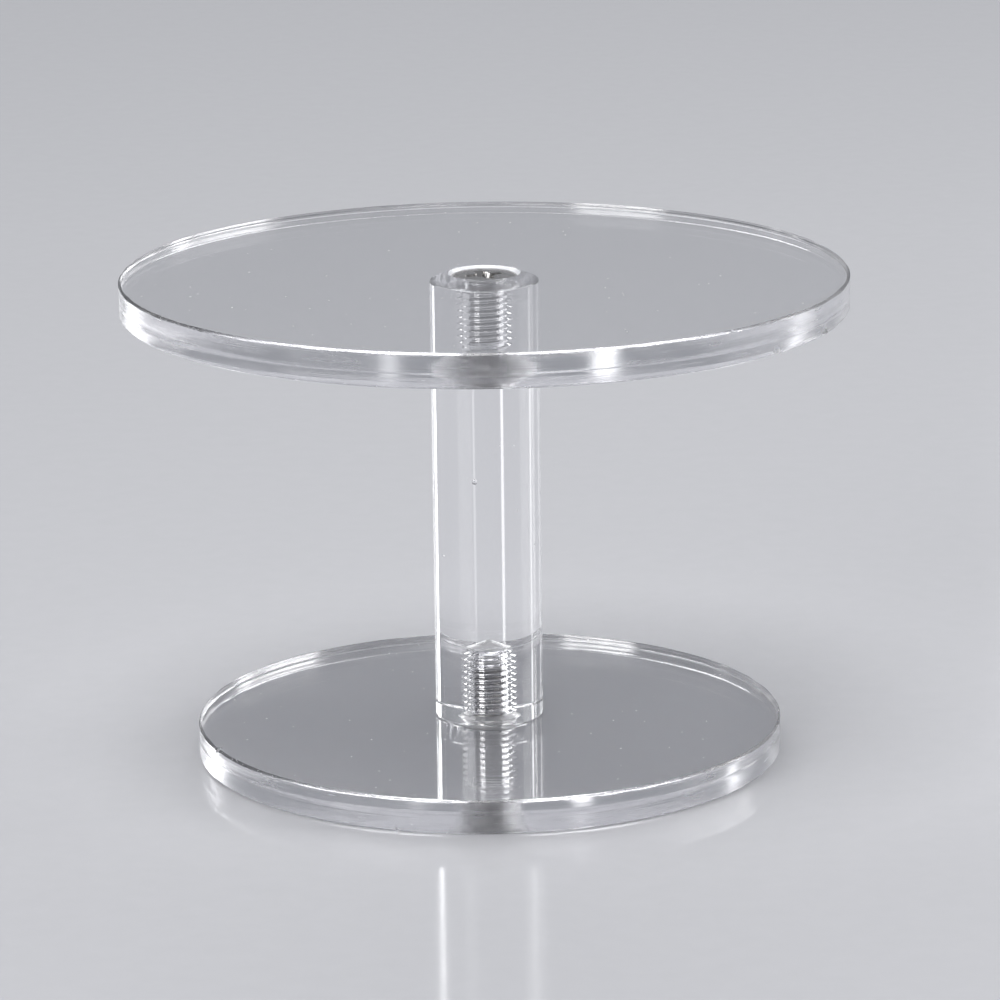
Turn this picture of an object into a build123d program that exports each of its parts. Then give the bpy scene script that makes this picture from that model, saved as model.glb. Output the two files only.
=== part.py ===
from build123d import *
from math import ceil, radians, tan
import os

# A two-disc display stand in clear acrylic: a base disc, an upright post and a larger top disc
# that turns on the post. One countersunk M4 screw holds each disc to an end of the post.
# Millimetres, +Z up. The origin is the middle of the base's underside, and Z is the post's axis.

# ---- Discs
top_disc_diameter = 80.0
top_disc_thickness = 3.8
base_disc_diameter = 65.0
base_disc_thickness = 3.8
rim_bevel = 0.3

# ---- Post
post_diameter = 12.0
post_length = 46.4
post_edge_break = 0.2

# ---- Screws, M4 with a 90 degree countersunk head and a cross recess
thread_diameter = 4.0
thread_pitch = 0.7
thread_angle = 60.0
thread_height = 0.6134 * thread_pitch  # of the metric profile, from its core to its crest
screw_length = 10.0
screw_head_diameter = 7.2
screw_head_angle = 90.0
screw_head_edge_width = 0.4
screw_head_edge_depth = 0.1
screw_neck_relief = 0.5
screw_neck_length = 0.6
screw_tip_chamfer = 0.4
recess_span = 4.2
recess_floor_span = 1.5
recess_wing = 1.0
recess_centre_diameter = 2.4
recess_depth = 1.9
top_screw_turn = 20.0
base_screw_turn = 65.0

# ---- Fits
running_gap = 0.05  # axially between the turning disc and the post, and across its countersink
thread_clearance = 0.05  # radially between the screw's thread and the tapped one
shank_clearance = 0.5  # how much wider a disc's hole is than the thread that passes it
head_clearance_ring = 0.8  # how much wider a countersink is at its mouth than the head
mouth_over_thread = 0.6  # how much wider a tapped hole's countersunk mouth is than the thread
top_thread_past_tip = 1.0
base_thread_past_tip = 1.4
drill_past_thread = 0.2
drill_point_angle = 118.0
clearance_hole_diameter = thread_diameter + shank_clearance
countersink_diameter = screw_head_diameter + head_clearance_ring
tap_drill_diameter = thread_diameter - thread_pitch
beyond = 1.0  # how far a cutting shape runs out of the face that it cuts

# ---- Heights and seats. A seat is a plane on an end of the post that faces away from it.
post_bottom = base_disc_thickness
post_top = post_bottom + post_length
top_disc_underside = post_top + running_gap
stand_height = top_disc_underside + top_disc_thickness
head_slope = tan(radians(screw_head_angle / 2))
top_seat = Plane(
    origin=(0, 0, post_top), x_dir=Vector(1, 0, 0).rotate(Axis.Z, top_screw_turn), z_dir=(0, 0, 1)
)
base_seat = Plane(
    origin=(0, 0, post_bottom), x_dir=Vector(1, 0, 0).rotate(Axis.Z, base_screw_turn), z_dir=(0, 0, -1)
)

os.makedirs("parts", exist_ok=True)


# ---- Threads. Each turn of a thread is a closed ring at the thread's pitch, not a helix.
def thread_rings(crest_radius, core_radius, highest, lowest):
    """The half outline of a thread's rings as (radius, height) points, going down from the seat."""
    flat = thread_pitch / 8
    root_width = flat + 2 * (crest_radius - core_radius) * tan(radians(thread_angle / 2))
    points = []
    middle = -thread_pitch * ceil((root_width / 2 - highest) / thread_pitch)
    while middle - root_width / 2 > lowest:
        points += [
            (core_radius, middle + root_width / 2),
            (crest_radius, middle + flat / 2),
            (crest_radius, middle - flat / 2),
            (core_radius, middle - root_width / 2),
        ]
        middle -= thread_pitch
    return points


def turned(outline):
    """A solid turned about Z from its half outline, given as (radius, height) points."""
    with BuildPart() as blank:
        with BuildSketch(Plane.XZ):
            with BuildLine():
                Polyline(*outline, close=True)
            make_face()
        revolve(axis=Axis.Z)
    return blank.part


def tap_tool(thread_depth):
    """What drilling and tapping takes out of a post's end: its mouth at height 0, pointing down."""
    crest_radius = thread_diameter / 2 + thread_clearance / 2
    drill_radius = tap_drill_diameter / 2
    drill_depth = thread_depth + drill_past_thread
    point_depth = drill_depth + drill_radius / tan(radians(drill_point_angle / 2))
    mouth_radius = (thread_diameter + mouth_over_thread) / 2
    mouth_depth = mouth_radius - drill_radius
    rings = thread_rings(crest_radius, drill_radius, beyond, -thread_depth)
    rise = 2 * beyond
    bore = turned(
        [(0, beyond), (drill_radius, beyond)] + rings + [(drill_radius, -drill_depth), (0, -point_depth)]
    )
    mouth = turned(
        [(0, rise), (mouth_radius + rise, rise), (drill_radius, -mouth_depth), (0, -mouth_depth)]
    )
    with BuildPart() as tap:
        add(bore)
        add(mouth)
    return tap.part


# ---- Screw
def head_sink(head_clearance):
    """How far a head's flat top lies below its disc's face."""
    step = (countersink_diameter - screw_head_diameter) / 2 - head_clearance
    return step / head_slope - screw_head_edge_depth


def screw_reach(disc_face, head_clearance):
    """How deep a screw goes into the post, past its seat."""
    return screw_length - (disc_face - head_sink(head_clearance))


def screw_solid(disc_face, head_clearance):
    """A countersunk screw whose seat is at height 0 and whose disc's outer face is at disc_face."""
    crest_radius = thread_diameter / 2 - thread_clearance / 2
    core_radius = thread_diameter / 2 - thread_height
    neck_radius = (thread_diameter - screw_neck_relief) / 2
    head_radius = screw_head_diameter / 2
    tip_radius = core_radius - screw_tip_chamfer
    head_top = disc_face - head_sink(head_clearance)
    cone_top = head_top - screw_head_edge_depth
    cone_bottom = cone_top - (head_radius - neck_radius) / head_slope
    neck_bottom = cone_bottom - screw_neck_length
    thread_top = neck_bottom - (neck_radius - core_radius)
    tip = -screw_reach(disc_face, head_clearance)
    head = [
        (0, head_top),
        (head_radius - screw_head_edge_width, head_top),
        (head_radius, cone_top),
        (neck_radius, cone_bottom),
        (neck_radius, neck_bottom),
        (core_radius, thread_top),
    ]
    rings = thread_rings(crest_radius, core_radius, thread_top, tip + screw_tip_chamfer)
    end = [(core_radius, tip + screw_tip_chamfer), (tip_radius, tip), (0, tip)]
    blank = turned(head + rings + end)
    recess = cross_recess(head_top)
    with BuildPart() as screw:
        add(blank)
        add(recess, mode=Mode.SUBTRACT)
    return screw.part


def cross_recess(head_top):
    """What the cross recess takes out of a head whose flat top is at head_top."""
    floor = head_top - recess_depth
    rise = head_top + beyond
    slope = (recess_span - recess_floor_span) / 2 / recess_depth
    top_half = recess_span / 2 + slope * beyond
    floor_half = recess_floor_span / 2
    centre_radius = recess_centre_diameter / 2
    centre = turned(
        [
            (0, rise),
            (centre_radius, rise),
            (centre_radius, head_top),
            (floor_half, floor),
            (0, floor - floor_half / 2),
        ]
    )
    with BuildPart() as recess:
        for wing_plane in (Plane.XZ, Plane.YZ):
            with BuildSketch(wing_plane):
                with BuildLine():
                    Polyline(
                        (-top_half, rise), (top_half, rise), (floor_half, floor), (-floor_half, floor),
                        close=True,
                    )
                make_face()
            extrude(amount=recess_wing / 2, both=True)
        add(centre)
    return recess.part


# ---- Base disc: lies on the table, countersunk from below
with BuildPart() as base_disc:
    with BuildSketch():
        Circle(base_disc_diameter / 2)
    extrude(amount=base_disc_thickness)
    chamfer(base_disc.edges().filter_by(GeomType.CIRCLE), rim_bevel)
    with Locations(Plane(origin=(0, 0, 0), z_dir=(0, 0, -1))):
        CounterSinkHole(
            radius=clearance_hole_diameter / 2,
            counter_sink_radius=countersink_diameter / 2,
            counter_sink_angle=screw_head_angle,
        )
base_disc.part.label = "base_disc"
export_step(base_disc.part, "parts/base_disc.step")

# ---- Post: polished rod, drilled and tapped at both ends
top_reach = screw_reach(running_gap + top_disc_thickness, running_gap)
base_reach = screw_reach(base_disc_thickness, 0)
top_tapping = top_seat.location * tap_tool(top_reach + top_thread_past_tip)
base_tapping = base_seat.location * tap_tool(base_reach + base_thread_past_tip)
with BuildPart() as post:
    with BuildSketch(Plane.XY.offset(post_bottom)):
        Circle(post_diameter / 2)
    extrude(amount=post_length)
    chamfer(post.edges().filter_by(GeomType.CIRCLE), post_edge_break)
    add(top_tapping, mode=Mode.SUBTRACT)
    add(base_tapping, mode=Mode.SUBTRACT)
post.part.label = "post"
export_step(post.part, "parts/post.step")

# ---- Top disc: turns on the top screw, countersunk from above
with BuildPart() as top_disc:
    with BuildSketch(Plane.XY.offset(top_disc_underside)):
        Circle(top_disc_diameter / 2)
    extrude(amount=top_disc_thickness)
    chamfer(top_disc.edges().filter_by(GeomType.CIRCLE), rim_bevel)
    with Locations((0, 0, stand_height)):
        CounterSinkHole(
            radius=clearance_hole_diameter / 2,
            counter_sink_radius=countersink_diameter / 2,
            counter_sink_angle=screw_head_angle,
        )
top_disc.part.label = "top_disc"
export_step(top_disc.part, "parts/top_disc.step")

# ---- Base screw: clamps the base disc, its head seated in the countersink
base_screw_shape = screw_solid(base_disc_thickness, head_clearance=0)
with BuildPart() as base_screw:
    add(base_seat.location * base_screw_shape)
base_screw.part.label = "base_screw"
export_step(base_screw.part, "parts/base_screw.step")

# ---- Top screw: left just free, so that the top disc turns under its head
top_screw_shape = screw_solid(running_gap + top_disc_thickness, head_clearance=running_gap)
with BuildPart() as top_screw:
    add(top_seat.location * top_screw_shape)
top_screw.part.label = "top_screw"
export_step(top_screw.part, "parts/top_screw.step")
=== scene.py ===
"""Clear acrylic turntable display stand: two sheet discs on a tapped rod, with a screw at each end."""

import bmesh
import bpy
import math
import random
from bpy.props import FloatProperty, FloatVectorProperty, IntProperty, PointerProperty, StringProperty
from mathutils import Euler, Matrix, Vector


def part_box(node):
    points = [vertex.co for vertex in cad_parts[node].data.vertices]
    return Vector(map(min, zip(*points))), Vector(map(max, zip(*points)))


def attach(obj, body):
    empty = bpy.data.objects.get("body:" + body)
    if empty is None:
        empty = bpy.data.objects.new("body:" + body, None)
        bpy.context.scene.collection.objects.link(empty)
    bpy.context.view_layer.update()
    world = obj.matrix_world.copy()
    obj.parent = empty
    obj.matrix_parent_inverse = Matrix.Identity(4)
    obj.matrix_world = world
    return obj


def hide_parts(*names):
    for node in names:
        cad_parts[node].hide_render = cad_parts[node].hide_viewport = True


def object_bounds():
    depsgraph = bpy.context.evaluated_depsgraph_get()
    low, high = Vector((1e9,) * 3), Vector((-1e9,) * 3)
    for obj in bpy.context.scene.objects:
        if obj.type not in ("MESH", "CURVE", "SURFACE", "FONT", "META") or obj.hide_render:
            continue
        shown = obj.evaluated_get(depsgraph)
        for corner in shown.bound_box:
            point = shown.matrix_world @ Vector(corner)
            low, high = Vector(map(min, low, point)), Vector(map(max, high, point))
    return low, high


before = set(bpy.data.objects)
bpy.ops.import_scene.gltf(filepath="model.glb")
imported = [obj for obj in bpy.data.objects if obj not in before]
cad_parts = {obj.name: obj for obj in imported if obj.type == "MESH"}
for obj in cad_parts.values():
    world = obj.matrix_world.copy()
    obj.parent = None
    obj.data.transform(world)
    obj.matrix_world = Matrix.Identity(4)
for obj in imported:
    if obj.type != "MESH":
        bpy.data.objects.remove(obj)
cad_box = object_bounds()

bl_info = {
    "name": "Turntable display stand",
    "version": (1, 0, 0),
    "blender": (4, 5, 0),
    "location": "3D View > Sidebar > Stand",
    "description": "Builds a clear acrylic display stand with a turning top",
    "category": "Object",
}

# Everything is in metres. Sizes that a user sets are given in millimetres.
MM = 0.001
FULL_TURN = 2.0 * math.pi
# Faces that meet at more than this are a real edge, and less is a curve
SHARP_EDGE = math.radians(28.0)
# A 60 degree thread's flanks, and a 118 degree drill's point, as rise over run
FLANK_SLOPE = 1.0 / math.tan(math.radians(30.0))
DRILL_POINT_SLOPE = math.tan(math.radians(59.0))
# The film of air that keeps a piece off what it stands on
AIR_FILM = 0.03 * MM

base_low, base_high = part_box("base_disc")
top_low, top_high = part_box("top_disc")
post_low, post_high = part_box("post")
base_screw_low, base_screw_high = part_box("base_screw")
top_screw_low, top_screw_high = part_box("top_screw")


# ---- Sizes and colours that a user would change

def length(name, description, millimetres):
    """A size in millimetres, kept in metres."""
    default = millimetres * MM
    return FloatProperty(name=name, description=description, default=default, unit="LENGTH", precision=5)


def swatch(name, description, code):
    """A colour given as an sRGB hex value."""
    return StringProperty(name=name, description=description, default=code)


class DiscSizes(bpy.types.PropertyGroup):
    """Sizes that both discs share"""

    rim_columns: IntProperty(name="Rim columns", description="Steps round a disc", default=1440, min=96)
    rim_bevel: length("Scraped edge", "Mean width of the scraped edge at the rim", 0.26)
    bevel_wander: length("Edge wander", "How far the scraped edge's width wanders", 0.09)
    cutter_step: length("Cutter step", "Step where the second cut met the first on the rim", 0.035)
    step_wander: length("Step wander", "How far that step wanders up and down", 0.06)
    hole: length("Clearance hole", "Diameter of the hole for the screw's shank", 4.5)
    countersink: length("Countersink", "Diameter of the countersink at the face", 8.0)
    edge_break: length("Edge break", "Width of the small bright edge round each hole", 0.08)
    chip: length("Chip", "Width of the largest nick in the rim", 0.62)


class PostSizes(bpy.types.PropertyGroup):
    """Sizes of the upright rod and its tapped holes"""

    columns: IntProperty(name="Columns", description="Steps round the rod", default=192, min=48)
    edge_break: length("Edge break", "Width of the broken edge at each end", 0.2)
    seat_gap: length("Seat gap", "Film of air between the rod and the base", 0.02)
    drill: length("Tapping drill", "Diameter of the tapping drill", 3.3)
    groove: length("Thread groove", "Diameter at the bottom of the tapped groove", 4.05)
    mouth: length("Mouth", "Diameter of the countersunk mouth of each hole", 4.6)
    top_tapped: length("Top thread", "Depth of the thread in the top hole", 7.4)
    base_tapped: length("Base thread", "Depth of the thread in the bottom hole", 7.9)
    plain_end: length("Plain end", "Plain drilled length past the thread", 0.2)
    bubble: length("Bubble", "Diameter of the largest bubble in the rod", 0.5)


class ScrewSizes(bpy.types.PropertyGroup):
    """Sizes of the two countersunk screws"""

    columns: IntProperty(name="Columns", description="Steps round a screw", default=192, min=48)
    pitch: length("Pitch", "Distance from one thread to the next", 0.7)
    crest: length("Thread crest", "Diameter over the threads", 3.95)
    core: length("Thread core", "Diameter at the root of the thread", 3.141)
    neck: length("Neck", "Diameter of the plain neck under the head", 3.5)
    neck_length: length("Neck length", "Length of the plain neck", 0.6)
    head: length("Head", "Diameter over the head", 7.2)
    head_flat: length("Head flat", "Diameter of the head's flat top", 6.4)
    head_edge: length("Head edge", "Depth of the head's rounded edge", 0.1)
    tip_chamfer: length("Tip chamfer", "Chamfer at the screw's tip", 0.4)
    recess_span: length("Recess span", "Width over the wings of the cross recess", 4.2)
    recess_wing: length("Recess wing", "Thickness of one wing of the cross recess", 1.0)
    recess_centre: length("Recess centre", "Diameter of the middle of the recess", 2.4)
    recess_floor: length("Recess floor", "Width of the recess at its floor", 1.5)
    recess_depth: length("Recess depth", "Depth of the recess to its floor", 1.9)


class Finishes(bpy.types.PropertyGroup):
    """Colours of the stand's materials"""

    sheet: swatch("Sheet", "Clear cast sheet", "#FEFEFF")
    rim: swatch("Rim", "Cut rim of the sheet", "#FBFBFE")
    rod: swatch("Rod", "Clear extruded rod", "#FEFEFF")
    cut: swatch("Cut acrylic", "Drilled, tapped and faced acrylic", "#FAFAFD")
    steel: swatch("Steel", "Stainless steel", "#B4B2B0")
    steel_dark: swatch("Steel marks", "Darker marks on the steel", "#8A8988")
    floor: swatch("Floor", "Pale studio floor", "#CBCBCE")
    floor_grain: swatch("Floor grain", "Grain of the studio floor", "#C6C6C9")
    world: swatch("Room", "Dim room round the studio", "#94969B")


class StageSettings(bpy.types.PropertyGroup):
    """Floor, camera and lights"""

    floor_width: FloatProperty(name="Floor", description="Width of the floor", default=5.0, unit="LENGTH")
    camera_place: FloatVectorProperty(
        name="Camera", description="Where the camera stands", default=(0.0, -0.5560, 0.1719),
        subtype="TRANSLATION",
    )
    camera_down: FloatProperty(
        name="Down", description="How far the camera looks down", default=0.2528, unit="ROTATION"
    )
    camera_aside: FloatProperty(
        name="Aside", description="How far the camera looks aside", default=-0.0026, unit="ROTATION"
    )
    camera_roll: FloatProperty(
        name="Roll", description="How far the camera leans", default=-0.0121, unit="ROTATION"
    )
    lens: FloatProperty(name="Lens", description="Focal length in millimetres", default=186.74)
    overhead_power: FloatProperty(
        name="Overhead", description="Power of the softbox overhead", default=6.0, unit="POWER"
    )
    back_power: FloatProperty(
        name="Back", description="Power of the softbox behind", default=5.0, unit="POWER"
    )
    strip_share: FloatProperty(
        name="Strips", description="Share of the strip lights' full strength", default=1.0, min=0.0
    )


class StandSettings(bpy.types.PropertyGroup):
    """Everything that can be set on the stand"""

    disc: PointerProperty(type=DiscSizes)
    post: PointerProperty(type=PostSizes)
    screw: PointerProperty(type=ScrewSizes)
    finish: PointerProperty(type=Finishes)
    stage: PointerProperty(type=StageSettings)


# ---- Turning: every piece is a turned shape, so one small lathe makes them all

class Lathe:
    """Builds a turned surface loop by loop, and cuts threads on it as it goes. A finish is the number of a
    material on the piece."""

    def __init__(self, columns):
        self.columns = columns
        self.shape = bmesh.new()
        self.first = None
        self.last = None

    def angle(self, column):
        return FULL_TURN * column / self.columns

    def place(self, radius, angle, height):
        return self.shape.verts.new((radius * math.cos(angle), radius * math.sin(angle), height))

    def face(self, corners, finish):
        """Adds a face, unless its corners fall together."""
        corners = list(dict.fromkeys(corners))
        if len(corners) > 2:
            made = self.shape.faces.new(corners)
            made.material_index = finish
            made.smooth = True

    def join(self, one, other, finish):
        """Adds the band of faces between two loops."""
        for column in range(self.columns):
            after = (column + 1) % self.columns
            self.face((one[column], one[after], other[after], other[column]), finish)

    def loop(self, radius, height, finish=0):
        """Adds a loop. Radius and height are numbers, or functions of the angle."""
        made = []
        for column in range(self.columns):
            angle = self.angle(column)
            out = radius(angle) if callable(radius) else radius
            up = height(angle) if callable(height) else height
            made.append(self.place(out, angle, up))
        if self.last:
            self.join(self.last, made, finish)
        else:
            self.first = made
        self.last = made

    def point(self, height, finish=0):
        """Starts or ends the surface at a point on the axis."""
        tip = self.place(0.0, 0.0, height)
        if self.last:
            self.join(self.last, [tip] * self.columns, finish)
        self.last = [tip] * self.columns
        self.first = self.first or self.last

    def thread(self, form, radius_at, start, end, finish, lead_finish):
        """Carries the surface from start to end on a right-hand helix. form says where the thread's shape
        turns in each pitch, radius_at(angle, height) what is cut there, and lead_finish how the surface
        that leads up to the thread is finished."""
        self.loop(lambda angle: radius_at(angle, start), start, lead_finish)
        low, high = min(start, end), max(start, end)
        kept = {(column, start): vertex for column, vertex in enumerate(self.last)}
        steps = len(form.heights)

        def vertex(row, column):
            # A whole turn round is one pitch up, and rows past either end are held at it
            row, column = row + steps * (column // self.columns), column % self.columns
            height = form.origin + form.pitch * (row // steps + column / self.columns)
            height += form.heights[row % steps]
            height = min(max(height, low), high)
            key = (column, height) if height in (low, high) else (column, "row", row)
            if key not in kept:
                angle = self.angle(column)
                kept[key] = self.place(radius_at(angle, height), angle, height)
            return kept[key]

        first_row = steps * (math.floor((low - form.origin) / form.pitch) - 2)
        last_row = steps * (math.ceil((high - form.origin) / form.pitch) + 1)
        for row in range(first_row, last_row):
            for column in range(self.columns):
                corners = ((row, column), (row, column + 1), (row + 1, column + 1), (row + 1, column))
                self.face([vertex(*corner) for corner in corners], finish)
        self.last = [kept[(column, end)] for column in range(self.columns)]

    def close(self, finish=0):
        """Joins the last loop to the first, for a shape with a hole right through it."""
        self.join(self.last, self.first, finish)


class ThreadForm:
    """Where a 60 degree thread turns from crest to flank to root, measured along the axis."""

    def __init__(self, origin, pitch, crest, root):
        self.origin = origin
        self.pitch = pitch
        self.crest = crest
        self.root = root
        # The crest is an eighth of the pitch wide, and this is half of that
        self.flat = pitch / 16.0
        foot = self.flat + abs(crest - root) / FLANK_SLOPE
        flank = (foot + self.flat) / 2.0
        self.heights = (-foot, -flank, -self.flat, self.flat, flank, foot)

    def radius(self, angle, height):
        """The thread's radius: out at the crest's middle, in at the root."""
        turns = (height - self.origin) / self.pitch - angle / FULL_TURN
        aside = abs(turns - round(turns)) * self.pitch
        fall = max(aside - self.flat, 0.0) * FLANK_SLOPE
        return max(self.crest - fall, self.root)


def finish_piece(lathe, name, body, nodes, materials):
    """Makes the turned shape an object, smooth but for its real edges, and tells the frame what it is."""
    shape = lathe.shape
    for edge in shape.edges:
        # Where two finishes meet there is an edge, however slight
        finishes = {face.material_index for face in edge.link_faces}
        edge.smooth = len(finishes) < 2 and edge.calc_face_angle(0.0) < SHARP_EDGE
    mesh = bpy.data.meshes.new(name)
    shape.to_mesh(mesh)
    shape.free()
    for material in materials:
        mesh.materials.append(material)
    piece = bpy.data.objects.new(name, mesh)
    bpy.context.scene.collection.objects.link(piece)
    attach(piece, body)
    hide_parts(*nodes)
    return piece


def face_outwards(shape):
    bmesh.ops.recalc_face_normals(shape, faces=shape.faces)


def fade(value, start, end):
    """0 at start, 1 at end, smooth between."""
    share = min(max((value - start) / (end - start), 0.0), 1.0)
    return share * share * (3.0 - 2.0 * share)


def wander(seed, waves=9):
    """A gentle function of the angle, from -1 to 1, that joins up after a whole turn."""
    # Waves in a whole turn, and how strong each is
    fewest, most = 2, 60
    weakest, strongest = 0.4, 1.0
    dice = random.Random(seed)
    parts = []
    for _ in range(waves):
        count = dice.randint(fewest, most)
        phase = dice.uniform(0.0, FULL_TURN)
        parts.append((count, phase, dice.uniform(weakest, strongest)))
    total = sum(strength for _, _, strength in parts)

    def value(angle):
        return sum(strength * math.sin(count * angle + phase) for count, phase, strength in parts) / total

    return value


# ---- Materials

def linear(code, alpha=1.0):
    """An sRGB hex value as linear red, green, blue and alpha."""
    channels = [int(code[i:i + 2], 16) / 255.0 for i in (1, 3, 5)]
    return (*[c / 12.92 if c <= 0.04045 else ((c + 0.055) / 1.055) ** 2.4 for c in channels], alpha)


def add_node(tree, kind, settings=None, links=None):
    """Adds a node. Settings are its attributes or its inputs by name, and links are {input: socket}."""
    node = tree.nodes.new(kind)
    for key, value in (settings or {}).items():
        if isinstance(key, str) and hasattr(node, key):
            setattr(node, key, value)
        else:
            node.inputs[key].default_value = value
    for key, socket in (links or {}).items():
        tree.links.new(socket, node.inputs[key])
    return node


def new_material(name):
    """An empty material, its node tree, and the place on the piece in metres. It is made once for the
    whole stand, and made again in place when a colour has changed."""
    material = bpy.data.materials.get(name) or bpy.data.materials.new(name)
    material.use_nodes = True
    tree = material.node_tree
    tree.nodes.clear()
    place = add_node(tree, "ShaderNodeTexCoord").outputs["Object"]
    return material, tree, place


def marks_of_size(tree, place, grain, detail=3.0, rough=0.55):
    """Uneven marks, whose grain is this many millimetres along x, y and z."""
    scale = [1.0 / (size * MM) for size in grain]
    scaled = add_node(tree, "ShaderNodeMapping", {"Scale": scale}, {"Vector": place})
    return add_node(
        tree, "ShaderNodeTexNoise", {"Scale": 1.0, "Detail": detail, "Roughness": rough},
        {"Vector": scaled.outputs["Vector"]},
    ).outputs["Fac"]


def clear_acrylic(made, colour, marks, frost, bumps=(), clearness=1.0):
    """Clear acrylic, refractive index 1.49, frosted by its marks. frost is two values of the marks and
    then the roughness at each. bumps are (marks, depth in millimetres), from coarse to fine. clearness is
    below 1 where the cutter has crazed the surface white."""
    material, tree, _ = made
    from_low, from_high, to_low, to_high = frost
    roughness = add_node(
        tree, "ShaderNodeMapRange",
        {"From Min": from_low, "From Max": from_high, "To Min": to_low, "To Max": to_high},
        {"Value": marks},
    )
    links = {"Roughness": roughness.outputs["Result"]}
    for height, depth in bumps:
        coarser = {"Normal": links["Normal"]} if "Normal" in links else {}
        bump = add_node(
            tree, "ShaderNodeBump", {"Strength": 1.0, "Distance": depth * MM}, {"Height": height, **coarser}
        )
        links["Normal"] = bump.outputs["Normal"]
    shader = add_node(
        tree, "ShaderNodeBsdfPrincipled",
        {"Base Color": linear(colour), "Metallic": 0.0, "IOR": 1.491, "Transmission Weight": clearness},
        links,
    )
    add_node(tree, "ShaderNodeOutputMaterial", links={"Surface": shader.outputs["BSDF"]})
    return material


def cast_sheet_face(finish):
    """Cast acrylic sheet, cast between glass plates: a mirror-flat face, with a few hairline scratches
    and motes of dust that break up what it reflects."""
    made = new_material("cast_acrylic_sheet_face")
    _, tree, place = made
    mote_spacing = 2.6
    dust = add_node(
        tree, "ShaderNodeTexVoronoi", {"Scale": 1.0 / (mote_spacing * MM)}, {"Vector": place}
    )
    motes = add_node(
        tree, "ShaderNodeMapRange",
        {"From Min": 0.030, "From Max": 0.055, "To Min": 0.42, "To Max": 0.0},
        {"Value": dust.outputs["Distance"]},
    )
    scratches = marks_of_size(tree, place, (0.05, 9.0, 4.0), detail=2.0)
    hairs = add_node(
        tree, "ShaderNodeMapRange", {"From Min": 0.74, "From Max": 0.80, "To Min": 0.0, "To Max": 0.10},
        {"Value": scratches},
    )
    marred = add_node(
        tree, "ShaderNodeMath", {"operation": "ADD"},
        {0: motes.outputs["Result"], 1: hairs.outputs["Result"]},
    )
    return clear_acrylic(made, finish.sheet, marred.outputs["Value"], (0.0, 1.0, 0.0, 1.0))


def cut_rim(finish):
    """Rim cut round on a lathe: long level streaks from the tool, faint upright chatter, half frosted."""
    made = new_material("lathe_cut_acrylic_rim")
    _, tree, place = made
    streaks = marks_of_size(tree, place, (16.0, 16.0, 0.13), detail=4.0, rough=0.65)
    patches = marks_of_size(tree, place, (5.0, 5.0, 1.6), detail=2.0)
    chatter = marks_of_size(tree, place, (0.4, 0.4, 9.0), detail=1.0)
    mixed = add_node(tree, "ShaderNodeMath", {"operation": "MULTIPLY"}, {0: streaks, 1: patches})
    bumps = [(patches, 0.012), (streaks, 0.006), (chatter, 0.0035)]
    return clear_acrylic(made, finish.rim, mixed.outputs["Value"], (0.18, 0.40, 0.05, 0.28), bumps)


def scraped_edge(finish):
    """Edge broken by hand with a scraper: a narrow bright facet with cross chatter."""
    made = new_material("scraped_acrylic_edge")
    _, tree, place = made
    chatter = marks_of_size(tree, place, (0.5, 0.5, 0.2))
    return clear_acrylic(made, finish.rim, chatter, (0.35, 0.7, 0.04, 0.30), [(chatter, 0.012)])


def drilled_acrylic(finish):
    """Drilled and countersunk acrylic: satin and a little white, with rings left by the cutter."""
    made = new_material("drilled_acrylic_hole")
    _, tree, place = made
    rings = marks_of_size(tree, place, (30.0, 30.0, 0.09), detail=2.0)
    return clear_acrylic(made, finish.cut, rings, (0.3, 0.7, 0.24, 0.50), [(rings, 0.010)], clearness=0.72)


def extruded_rod(finish):
    """Extruded acrylic rod: polished by its die, with hair-fine lines along its length and a few specks."""
    made = new_material("extruded_acrylic_rod")
    _, tree, place = made
    speck_spacing = 3.2
    specks = add_node(
        tree, "ShaderNodeTexVoronoi", {"Scale": 1.0 / (speck_spacing * MM)}, {"Vector": place}
    )
    lines = marks_of_size(tree, place, (0.35, 0.35, 60.0), detail=2.0)
    frost = (0.02, 0.05, 0.35, 0.0)
    return clear_acrylic(made, finish.rod, specks.outputs["Distance"], frost, [(lines, 0.0012)])


def faced_rod_end(finish):
    """Rod end faced on a lathe: satin, with fine rings about its middle."""
    made = new_material("faced_acrylic_rod_end")
    _, tree, place = made
    flat = add_node(tree, "ShaderNodeVectorMath", {"operation": "MULTIPLY", 1: (1.0, 1.0, 0.0)}, {0: place})
    out = add_node(tree, "ShaderNodeVectorMath", {"operation": "LENGTH"}, {0: flat.outputs["Vector"]})
    ring_width = 0.14
    rings = add_node(
        tree, "ShaderNodeTexNoise",
        {"noise_dimensions": "1D", "Scale": 1.0 / (ring_width * MM), "Detail": 2.0},
        {"W": out.outputs["Value"]},
    ).outputs["Fac"]
    return clear_acrylic(made, finish.cut, rings, (0.35, 0.7, 0.03, 0.20), [(rings, 0.003)])


def tapped_acrylic(finish):
    """Thread tapped in acrylic: flanks torn slightly white by the tap."""
    made = new_material("tapped_acrylic_thread")
    _, tree, place = made
    tears = marks_of_size(tree, place, (0.6, 0.6, 0.12))
    return clear_acrylic(made, finish.cut, tears, (0.45, 0.75, 0.02, 0.22), [(tears, 0.004)])


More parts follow.
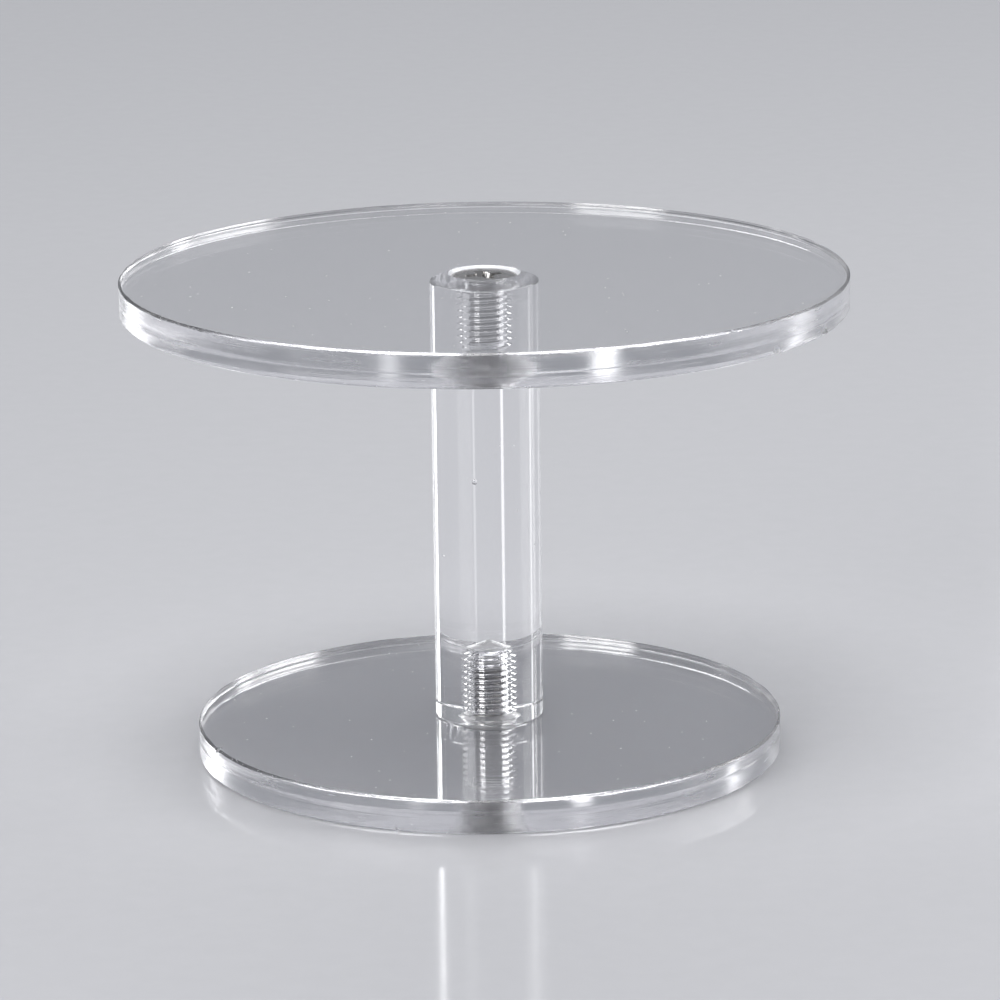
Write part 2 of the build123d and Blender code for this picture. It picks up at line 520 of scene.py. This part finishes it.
def stainless_steel(made, finish, marks, depth, dull, bright):
    """Stainless steel: bright and a little warm, but darker and duller in its marks. depth is theirs in
    millimetres, and dull and bright are the roughness in the marks and between them."""
    material, tree, _ = made
    shade = add_node(tree, "ShaderNodeMapRange", {"From Min": 0.35, "From Max": 0.6}, {"Value": marks})
    colour = add_node(
        tree, "ShaderNodeMix",
        {"data_type": "RGBA", 6: linear(finish.steel_dark), 7: linear(finish.steel)},
        {0: shade.outputs["Result"]},
    )
    roughness = add_node(
        tree, "ShaderNodeMapRange", {"From Min": 0.3, "From Max": 0.7, "To Min": dull, "To Max": bright},
        {"Value": marks},
    )
    bump = add_node(tree, "ShaderNodeBump", {"Strength": 1.0, "Distance": depth * MM}, {"Height": marks})
    links = {
        "Base Color": colour.outputs[2],
        "Roughness": roughness.outputs["Result"],
        "Normal": bump.outputs["Normal"],
    }
    shader = add_node(tree, "ShaderNodeBsdfPrincipled", {"Metallic": 1.0}, links)
    add_node(tree, "ShaderNodeOutputMaterial", links={"Surface": shader.outputs["BSDF"]})
    return material


def headed_steel(finish):
    """Cold-headed stainless steel: pressed in a die, then tumbled, so it is satin with small dents."""
    made = new_material("cold_headed_stainless_steel")
    _, tree, place = made
    dents = marks_of_size(tree, place, (0.9, 0.9, 0.9))
    return stainless_steel(made, finish, dents, 0.008, 0.30, 0.16)


def rolled_steel(finish):
    """Rolled stainless thread: burnished along the helix by the rolling dies."""
    made = new_material("rolled_stainless_thread")
    _, tree, place = made
    burnish = marks_of_size(tree, place, (1.4, 1.4, 0.05), detail=2.0)
    return stainless_steel(made, finish, burnish, 0.002, 0.26, 0.14)


def glossy_floor(finish):
    """Studio floor of pale glossy laminate: a soft mirror under the stand, with a grain so faint that it
    looks plain."""
    made = new_material("pale_glossy_laminate")
    material, tree, place = made
    grain = marks_of_size(tree, place, (3.0, 3.0, 3.0), detail=5.0)
    colour = add_node(
        tree, "ShaderNodeMix",
        {"data_type": "RGBA", 6: linear(finish.floor_grain), 7: linear(finish.floor)},
        {0: grain},
    )
    shader = add_node(
        tree, "ShaderNodeBsdfPrincipled", {"Roughness": 0.085, "Specular IOR Level": 0.5},
        {"Base Color": colour.outputs[2]},
    )
    add_node(tree, "ShaderNodeOutputMaterial", links={"Surface": shader.outputs["BSDF"]})
    return material


# ---- Discs

# The finishes of a disc
FACE, RIM, EDGE, DRILLED = range(4)

# Where the loops of a disc lie: shares of the way up the countersink, of the way out over a face, of the
# largest chip in from the rim, and of the way down the rim from the sunk face
SINK_LOOPS = (0.25, 0.5, 0.75)
FACE_LOOPS = (0.25, 0.5, 0.75, 0.9)
CHIP_LOOPS = (0.9, 1.2, 1.6, 2.1, 2.7)
RIM_LOOPS_ABOVE_STEP = (0.12, 0.2, 0.33, 0.45)
RIM_LOOPS_BELOW_STEP = (0.7, 0.82, 0.88)

# Where the second cut met the first, as a share of the way down the rim, and the step there: how far each
# loop is below that place, and how much of the step is cut by then
STEP_AT = 0.58
STEP_LOOPS = ((-0.03, 0.0), (0.0, 0.5), (0.03, 1.0))

# The scraped edge, in shares of its width: how far in and down its middle is at the sunk face and at the
# plain face, which makes it slightly round, and how far down it ends
SUNK_EDGE_MIDDLE = (0.4, 0.42)
PLAIN_EDGE_MIDDLE = (0.45, 0.4)
EDGE_DROP = 0.95

# How much of the cutter's step is left below it, and where the rim meets the lower edge
STEP_BELOW = 0.8
STEP_AT_EDGE = 0.2

# A chip's depth as a share of its width, and how far it slants up or down for each step inwards
CHIP_DEPTH = 0.42
CHIP_SLANT = (0.5, 0.9)

# Chips in each rim: bearing in degrees, which edge, and size as a share of the largest. Bearing 0 is to
# the right and 270 to the front.
BASE_CHIPS = (
    (203.0, "upper", 0.7),
    (252.0, "lower", 0.5),
    (318.0, "upper", 0.4),
    (71.0, "upper", 0.6),
)
TOP_CHIPS = (
    (222.0, "upper", 0.5),
    (287.0, "upper", 0.45),
    (301.0, "upper", 0.35),
    (310.0, "upper", 0.4),
    (320.0, "lower", 1.0),
    (335.0, "lower", 1.3),
    (173.0, "upper", 0.5),
    (104.0, "upper", 0.5),
    (38.0, "lower", 0.5),
)


def disc_materials(finish):
    return [cast_sheet_face(finish), cut_rim(finish), scraped_edge(finish), drilled_acrylic(finish)]


def turn_disc(sizes, radius, low, high, sunk_up, seed):
    """Turns a disc from its hole outwards and back under. sunk_up says which face is countersunk."""
    lathe = Lathe(sizes.rim_columns)
    hole, sink = sizes.hole / 2.0, sizes.countersink / 2.0
    small = sizes.edge_break
    way = 1.0 if sunk_up else -1.0
    sunk_face, plain_face = (high, low) if sunk_up else (low, high)
    depth = high - low
    foot = sunk_face - way * (sink - hole)
    sunk_wave, plain_wave, step_wave = wander(seed), wander(seed + 1), wander(seed + 2, waves=14)

    def sunk_edge(angle, share=1.0):
        """A share of the scraped edge's width at the sunk face."""
        return share * (sizes.rim_bevel + sizes.bevel_wander * sunk_wave(angle))

    def plain_edge(angle, share=1.0):
        """A share of the scraped edge's width at the plain face."""
        return share * (sizes.rim_bevel + sizes.bevel_wander * plain_wave(angle))

    # Up the countersink and out over the sunk face
    lathe.loop(hole, plain_face + way * small, DRILLED)
    lathe.loop(hole, foot, DRILLED)
    for share in SINK_LOOPS:
        lathe.loop(hole + share * (sink - hole), foot + way * share * (sink - hole), DRILLED)
    lathe.loop(sink - small / 2.0, sunk_face - way * small / 2.0, DRILLED)
    lathe.loop(sink + small / 2.0, sunk_face, EDGE)
    for share in FACE_LOOPS:
        lathe.loop(sink + share * (radius - sink), sunk_face, FACE)
    for share in reversed(CHIP_LOOPS):
        lathe.loop(radius - share * sizes.chip, sunk_face, FACE)
    lathe.loop(lambda a: radius - sunk_edge(a), sunk_face, FACE)

    # Over the scraped edge
    across, down = SUNK_EDGE_MIDDLE
    lathe.loop(lambda a: radius - sunk_edge(a, across), lambda a: sunk_face - way * sunk_edge(a, down), EDGE)
    lathe.loop(radius, lambda a: sunk_face - way * sunk_edge(a, EDGE_DROP), EDGE)

    # Down the rim, with the step where two cuts met
    for share in RIM_LOOPS_ABOVE_STEP:
        lathe.loop(radius, sunk_face - way * share * depth, RIM)
    for drop, inset in STEP_LOOPS:
        lathe.loop(
            radius - inset * sizes.cutter_step,
            lambda a, at=STEP_AT + drop: sunk_face - way * (at * depth + sizes.step_wander * step_wave(a)),
            RIM,
        )
    for share in RIM_LOOPS_BELOW_STEP:
        lathe.loop(radius - STEP_BELOW * sizes.cutter_step, sunk_face - way * share * depth, RIM)
    lathe.loop(
        radius - STEP_AT_EDGE * sizes.cutter_step, lambda a: plain_face + way * plain_edge(a, EDGE_DROP), RIM
    )

    # Round the other scraped edge
    over, up = PLAIN_EDGE_MIDDLE
    lathe.loop(lambda a: radius - plain_edge(a, over), lambda a: plain_face + way * plain_edge(a, up), EDGE)
    lathe.loop(lambda a: radius - plain_edge(a), plain_face, EDGE)

    # Back over the plain face to the hole
    for share in CHIP_LOOPS:
        lathe.loop(radius - share * sizes.chip, plain_face, FACE)
    for share in reversed(FACE_LOOPS):
        lathe.loop(hole + share * (radius - hole), plain_face, FACE)
    lathe.loop(hole + small, plain_face, FACE)
    lathe.close(EDGE)
    face_outwards(lathe.shape)
    return lathe


def chip_rim(shape, place, width, inward):
    """Bites a shell-shaped chip out of the rim at a place on its edge, and leaves it crazed white."""
    depth = CHIP_DEPTH * width
    bitten = set()
    for vertex in shape.verts:
        reach = (vertex.co - place).length / width
        if reach < 1.0:
            vertex.co += inward * depth * (1.0 - reach * reach)
            bitten.add(vertex)
    for face in shape.faces:
        if bitten.issuperset(face.verts):
            face.material_index = DRILLED


def chip_disc(lathe, sizes, radius, low, high, chips, seed):
    """Chips the rim of a disc at each place in a list."""
    dice = random.Random(seed)
    for bearing, edge, size in chips:
        angle = math.radians(bearing)
        out = Vector((math.cos(angle), math.sin(angle), 0.0))
        height, way = (high, -1.0) if edge == "upper" else (low, 1.0)
        place = out * radius + Vector((0.0, 0.0, height))
        inward = (Vector((0.0, 0.0, way)) * dice.uniform(*CHIP_SLANT) - out).normalized()
        chip_rim(lathe.shape, place, size * sizes.chip, inward)


class STAND_OT_base_disc(bpy.types.Operator):
    """Turns the base disc, countersunk from below"""

    bl_idname = "stand.base_disc"
    bl_label = "Base disc"

    def execute(self, context):
        settings = context.scene.stand
        radius = (base_high.x - base_low.x) / 2.0
        low, high = base_low.z, base_high.z
        lathe = turn_disc(settings.disc, radius, low, high, sunk_up=False, seed=41)
        materials = disc_materials(settings.finish)
        chip_disc(lathe, settings.disc, radius, low, high, BASE_CHIPS, seed=43)
        finish_piece(lathe, "base_disc_sheet", "stand", ["base_disc"], materials)
        return {"FINISHED"}


class STAND_OT_top_disc(bpy.types.Operator):
    """Turns the top disc, countersunk from above"""

    bl_idname = "stand.top_disc"
    bl_label = "Top disc"

    def execute(self, context):
        settings = context.scene.stand
        radius = (top_high.x - top_low.x) / 2.0
        low, high = top_low.z, top_high.z
        lathe = turn_disc(settings.disc, radius, low, high, sunk_up=True, seed=11)
        materials = disc_materials(settings.finish)
        chip_disc(lathe, settings.disc, radius, low, high, TOP_CHIPS, seed=13)
        finish_piece(lathe, "top_disc_sheet", "turntable", ["top_disc"], materials)
        return {"FINISHED"}


# ---- Post

# The finishes of the post
SIDE, BROKEN, FACED, TAPPED, BORED = range(5)

# Where loops lie, as shares of the way: down the mouth of a tapped hole, and up the rod's side
MOUTH_LOOPS = (0.33, 0.67)
SIDE_LOOPS = (0.8, 0.6, 0.4, 0.2)
# The middle of the broken edge at a rod's end, as a share of its width
BROKEN_MIDDLE = 0.3
# The tap's taper: the thread fades out over this many pitches at its deep end
TAP_RUN_OUT = 0.9
# A bubble drawn out along the rod is longer than it is wide
BUBBLE_STRETCH = 1.25
# The bubbles: millimetres from the rod's middle, and size as a share of the largest
BUBBLES = (
    (-1.1, -2.6, 4.3, 1.0),
    (-3.1, 1.0, -5.0, 0.35),
    (2.2, -1.0, 8.0, 0.3),
)


def tap_hole(lathe, sizes, screw, seat, way, tapped, inwards):
    """One tapped hole. way is 1 where the hole goes up from its seat, -1 where it goes down. inwards says
    whether the surface runs from the seat to the hole's end or back."""
    drill, mouth = sizes.drill / 2.0, sizes.mouth / 2.0
    form = ThreadForm(seat, screw.pitch, sizes.groove / 2.0, drill)
    mouth_depth = mouth - drill
    mouth_foot = seat + way * mouth_depth
    end = seat + way * tapped
    bottom = seat + way * (tapped + sizes.plain_end)
    tip = bottom + way * drill / DRILL_POINT_SLOPE

    def radius_at(angle, height):
        depth = abs(height - seat)
        cut = 1.0 - fade(depth, tapped - TAP_RUN_OUT * screw.pitch, tapped)
        threaded = drill + (form.radius(angle, height) - drill) * cut
        return max(threaded, mouth - depth)

    def mouth_loops(shares):
        for share in shares:
            height = seat + way * share * mouth_depth
            lathe.loop(lambda angle, at=height: radius_at(angle, at), height, BORED)

    if inwards:
        lathe.loop(mouth, seat, FACED)
        mouth_loops(MOUTH_LOOPS)
        lathe.thread(form, radius_at, mouth_foot, end, TAPPED, BORED)
        lathe.loop(drill, bottom, BORED)
        lathe.loop(drill / 2.0, (bottom + tip) / 2.0, BORED)
        lathe.point(tip, BORED)
    else:
        lathe.point(tip, BORED)
        lathe.loop(drill / 2.0, (bottom + tip) / 2.0, BORED)
        lathe.loop(drill, bottom, BORED)
        lathe.thread(form, radius_at, end, mouth_foot, TAPPED, BORED)
        mouth_loops(reversed(MOUTH_LOOPS))
        lathe.loop(mouth, seat, BORED)


def blow_bubble(shape, centre, size):
    """A closed bubble in the clear rod: its skin faces the air inside it."""
    made = bmesh.ops.create_icosphere(shape, subdivisions=2, radius=size / 2.0)
    faces = {face for vertex in made["verts"] for face in vertex.link_faces}
    for vertex in made["verts"]:
        vertex.co.z *= BUBBLE_STRETCH
        vertex.co += centre
    for face in faces:
        face.smooth = True
        face.normal_flip()


class STAND_OT_post(bpy.types.Operator):
    """Turns the post, with a tapped hole in each end"""

    bl_idname = "stand.post"
    bl_label = "Post"

    def execute(self, context):
        settings = context.scene.stand
        sizes, screw = settings.post, settings.screw
        radius = (post_high.x - post_low.x) / 2.0
        face_middle = (radius + sizes.mouth / 2.0) / 2.0
        broken = sizes.edge_break
        broken_middle = BROKEN_MIDDLE * broken
        low, high = post_low.z + sizes.seat_gap, post_high.z
        lathe = Lathe(sizes.columns)
        tap_hole(lathe, sizes, screw, high, -1.0, sizes.top_tapped, inwards=False)
        lathe.loop(face_middle, high, FACED)
        lathe.loop(radius - broken, high, FACED)
        lathe.loop(radius - broken_middle, high - broken_middle, BROKEN)
        lathe.loop(radius, high - broken, BROKEN)
        for share in SIDE_LOOPS:
            lathe.loop(radius, low + share * (high - low), SIDE)
        lathe.loop(radius, low + broken, SIDE)
        lathe.loop(radius - broken_middle, low + broken_middle, BROKEN)
        lathe.loop(radius - broken, low, BROKEN)
        lathe.loop(face_middle, low, FACED)
        tap_hole(lathe, sizes, screw, low, 1.0, sizes.base_tapped, inwards=True)
        face_outwards(lathe.shape)
        middle = Vector((0.0, 0.0, (low + high) / 2.0))
        for x, y, z, size in BUBBLES:
            blow_bubble(lathe.shape, middle + Vector((x, y, z)) * MM, size * sizes.bubble)
        finish = settings.finish
        materials = [
            extruded_rod(finish), scraped_edge(finish), faced_rod_end(finish), tapped_acrylic(finish),
            drilled_acrylic(finish),
        ]
        finish_piece(lathe, "post_rod", "stand", ["post"], materials)
        return {"FINISHED"}


# ---- Screws

# The finishes of a screw
HEADED, ROLLED = range(2)

# The angle at which each screw came to rest when it was tightened
TOP_SCREW_TURN = math.radians(20.0)
BASE_SCREW_TURN = math.radians(65.0)
# Where loops lie down the recess, as shares of its depth
RECESS_LOOPS = (1.0, 0.75, 0.5, 0.25, 0.04)
# How much thinner a wing of the recess is at its floor
WING_TAPER = 0.15
# Width of the rolled lip round the recess, and of the rounding at the head's rim
RECESS_LIP = 0.05 * MM
HEAD_ROUNDING = 0.12 * MM
# Loops between these: over the head's flat, down its rounded edge, and over the tip, as shares of each
FLAT_LOOP = 0.82
ROUNDING_LOOP = 0.35
TIP_LOOP = 0.6
# The thread runs out into the neck over this many pitches
ROLL_RUN_OUT = 1.2


def recess_radius(sizes, angle, share):
    """How far the cross recess reaches at an angle, at a share of its depth."""
    floor = sizes.recess_floor / 2.0
    wing_end = sizes.recess_span / 2.0 + (floor - sizes.recess_span / 2.0) * share
    middle = sizes.recess_centre / 2.0 + (floor - sizes.recess_centre / 2.0) * share
    half = sizes.recess_wing / 2.0 * (1.0 - WING_TAPER * share)
    # The angle from the middle of the nearest wing
    quarter = math.pi / 2.0
    aside = (angle + quarter / 2.0) % quarter - quarter / 2.0
    along_end = wing_end / math.cos(aside)
    # As far out as the wing's side lets it, but no further than the wing's end
    along_side = half / max(abs(math.sin(aside)), half / along_end)
    return max(middle, along_side)


def turn_screw(sizes, name, node, head, tip, seat, turned):
    """Turns a screw from its recess over the head to its tip. head and tip are heights, seat the height
    that its thread is timed to, and turned the angle that it was left at when it was tightened."""
    lathe = Lathe(sizes.columns)
    way = 1.0 if tip > head else -1.0
    floor = head + way * sizes.recess_depth
    core = sizes.core / 2.0
    neck = sizes.neck / 2.0
    widest = sizes.head / 2.0
    under_edge = head + way * sizes.head_edge
    neck_start = under_edge + way * (widest - neck)
    thread_start = neck_start + way * sizes.neck_length
    form = ThreadForm(seat, sizes.pitch, sizes.crest / 2.0, core)

    def radius_at(angle, height):
        run_out = 1.0 - fade(abs(height - thread_start), 0.0, ROLL_RUN_OUT * sizes.pitch)
        threaded = form.radius(angle, height)
        threaded += (neck - threaded) * run_out
        return min(threaded, sizes.crest / 2.0 - sizes.tip_chamfer + abs(tip - height))

    # The recess, from its point up to the top of the head
    lathe.point(floor + way * sizes.recess_floor / 4.0, HEADED)
    for share in RECESS_LOOPS:
        height = head + way * share * sizes.recess_depth
        lathe.loop(lambda a, share=share: recess_radius(sizes, a - turned, share), height, HEADED)
    lathe.loop(lambda a: recess_radius(sizes, a - turned, 0.0) + RECESS_LIP, head, HEADED)
    lathe.loop(FLAT_LOOP * sizes.head_flat / 2.0, head, HEADED)
    lathe.loop(sizes.head_flat / 2.0, head, HEADED)
    lathe.loop(widest - HEAD_ROUNDING, head + way * ROUNDING_LOOP * sizes.head_edge, HEADED)
    lathe.loop(widest, under_edge, HEADED)
    lathe.loop((widest + neck) / 2.0, (under_edge + neck_start) / 2.0, HEADED)
    lathe.loop(neck, neck_start, HEADED)
    lathe.thread(form, radius_at, thread_start, tip, ROLLED, ROLLED)
    lathe.loop(TIP_LOOP * core, tip, ROLLED)
    lathe.point(tip, ROLLED)
    face_outwards(lathe.shape)
    finish = bpy.context.scene.stand.finish
    finish_piece(lathe, name, "stand", [node], [headed_steel(finish), rolled_steel(finish)])


class STAND_OT_screws(bpy.types.Operator):
    """Turns the two countersunk screws"""

    bl_idname = "stand.screws"
    bl_label = "Screws"

    def execute(self, context):
        settings = context.scene.stand
        seat_gap = settings.post.seat_gap
        turn_screw(
            settings.screw, "top_screw_steel", "top_screw", top_screw_high.z, top_screw_low.z,
            post_high.z, TOP_SCREW_TURN,
        )
        turn_screw(
            settings.screw, "base_screw_steel", "base_screw", base_screw_low.z, base_screw_high.z,
            post_low.z + seat_gap, BASE_SCREW_TURN,
        )
        return {"FINISHED"}


# ---- Stage

# Width of the camera's sensor in millimetres, and the nearest that it sees in metres
FULL_FRAME = 36.0
NEAREST_SEEN = 0.01

# Places and sizes of the two large softboxes, in metres
OVERHEAD_PLACE = (-0.10, -0.20, 1.10)
OVERHEAD_SIZE = (0.55, 0.55)
BACK_PLACE = (0.0, 0.95, 0.80)
BACK_SIZE = (1.50, 0.30)

# Upright softboxes and strips round the stand: name, bearing in degrees to the right of straight behind,
# distance, width, lower and upper edge in metres, and watts per square metre
STRIPS = (
    ("right_softbox", 88.0, 0.8, 0.46, 0.05, 0.55, 13.0),
    ("right_back_strip", 62.0, 0.8, 0.14, 0.05, 0.55, 20.0),
    ("front_left_softbox", -133.0, 0.8, 0.44, 0.05, 0.55, 12.0),
    ("left_strip", -43.0, 0.9, 0.05, 0.05, 0.55, 4.5),
    ("far_left_strip", -68.0, 0.8, 0.05, 0.05, 0.55, 4.5),
    ("near_left_strip", -11.5, 1.5, 0.055, 0.27, 0.46, 5.5),
    ("near_right_strip", 9.0, 1.5, 0.04, 0.27, 0.46, 2.0),
)


def softbox(name, place, target, width, height, power):
    """A soft white rectangular studio light that the camera doesn't see."""
    data = bpy.data.lights.new(name, "AREA")
    data.shape = "RECTANGLE"
    data.size = width
    data.size_y = height
    data.energy = power
    light = bpy.data.objects.new(name, data)
    light.location = place
    light.rotation_euler = (Vector(target) - Vector(place)).to_track_quat("-Z", "Y").to_euler()
    light.visible_camera = False
    bpy.context.scene.collection.objects.link(light)


class STAND_OT_stage(bpy.types.Operator):
    """Lays the pale floor, sets the soft studio lights and places the camera"""

    bl_idname = "stand.stage"
    bl_label = "Stage"

    def execute(self, context):
        scene = context.scene
        settings = scene.stand.stage
        finish = scene.stand.finish

        shape = bmesh.new()
        squares = 8
        bmesh.ops.create_grid(
            shape, x_segments=squares, y_segments=squares, size=settings.floor_width / 2.0
        )
        mesh = bpy.data.meshes.new("studio_floor")
        shape.to_mesh(mesh)
        shape.free()
        mesh.materials.append(glossy_floor(finish))
        floor = bpy.data.objects.new("studio_floor", mesh)
        floor.location.z = cad_box[0].z - AIR_FILM
        scene.collection.objects.link(floor)

        world = bpy.data.worlds.new("dim_studio_room")
        world.use_nodes = True
        world.node_tree.nodes["Background"].inputs["Color"].default_value = linear(finish.world)
        scene.world = world

        middle = (cad_box[0] + cad_box[1]) / 2.0
        softbox("overhead_softbox", OVERHEAD_PLACE, middle, *OVERHEAD_SIZE, settings.overhead_power)
        softbox("back_softbox", BACK_PLACE, middle, *BACK_SIZE, settings.back_power)
        # The rod draws each strip out into a bright line, and the discs' rims catch the softboxes
        for name, bearing, away, width, low, high, strength in STRIPS:
            around = math.radians(bearing)
            place = (away * math.sin(around), away * math.cos(around), (low + high) / 2.0)
            power = settings.strip_share * strength * width * (high - low)
            softbox(name, place, (middle.x, middle.y, place[2]), width, high - low, power)

        data = bpy.data.cameras.new("stand_camera")
        data.sensor_width = FULL_FRAME
        data.lens = settings.lens
        data.clip_start = NEAREST_SEEN
        camera = bpy.data.objects.new("stand_camera", data)
        aim = Euler((math.pi / 2.0 - settings.camera_down, 0.0, settings.camera_aside)).to_matrix()
        camera.matrix_world = (aim @ Matrix.Rotation(settings.camera_roll, 3, "Z")).to_4x4()
        camera.location = settings.camera_place
        scene.collection.objects.link(camera)
        scene.camera = camera
        scene.view_settings.view_transform = "Standard"
        # Light runs round inside a clear disc many times before it leaves at the edge
        scene.cycles.max_bounces = 28
        scene.cycles.glossy_bounces = 20
        scene.cycles.transmission_bounces = 20
        return {"FINISHED"}


# ---- Panel and registration

class STAND_PT_panel(bpy.types.Panel):
    """Lists the stand's pieces"""

    bl_idname = "STAND_PT_panel"
    bl_label = "Display stand"
    bl_space_type = "VIEW_3D"
    bl_region_type = "UI"
    bl_category = "Stand"

    def draw(self, context):
        for piece in PIECES:
            self.layout.operator(piece.bl_idname)


PIECES = (STAND_OT_base_disc, STAND_OT_post, STAND_OT_top_disc, STAND_OT_screws, STAND_OT_stage)
GROUPS = (DiscSizes, PostSizes, ScrewSizes, Finishes, StageSettings, StandSettings)


def register():
    for group in GROUPS + PIECES + (STAND_PT_panel,):
        bpy.utils.register_class(group)
    bpy.types.Scene.stand = PointerProperty(type=StandSettings)


def unregister():
    del bpy.types.Scene.stand
    for group in reversed(GROUPS + PIECES + (STAND_PT_panel,)):
        bpy.utils.unregister_class(group)


def main():
    """Builds the stand on its stage."""
    register()
    bpy.ops.stand.base_disc()
    bpy.ops.stand.post()
    bpy.ops.stand.top_disc()
    bpy.ops.stand.screws()
    bpy.ops.stand.stage()


if __name__ == "__main__":
    main()
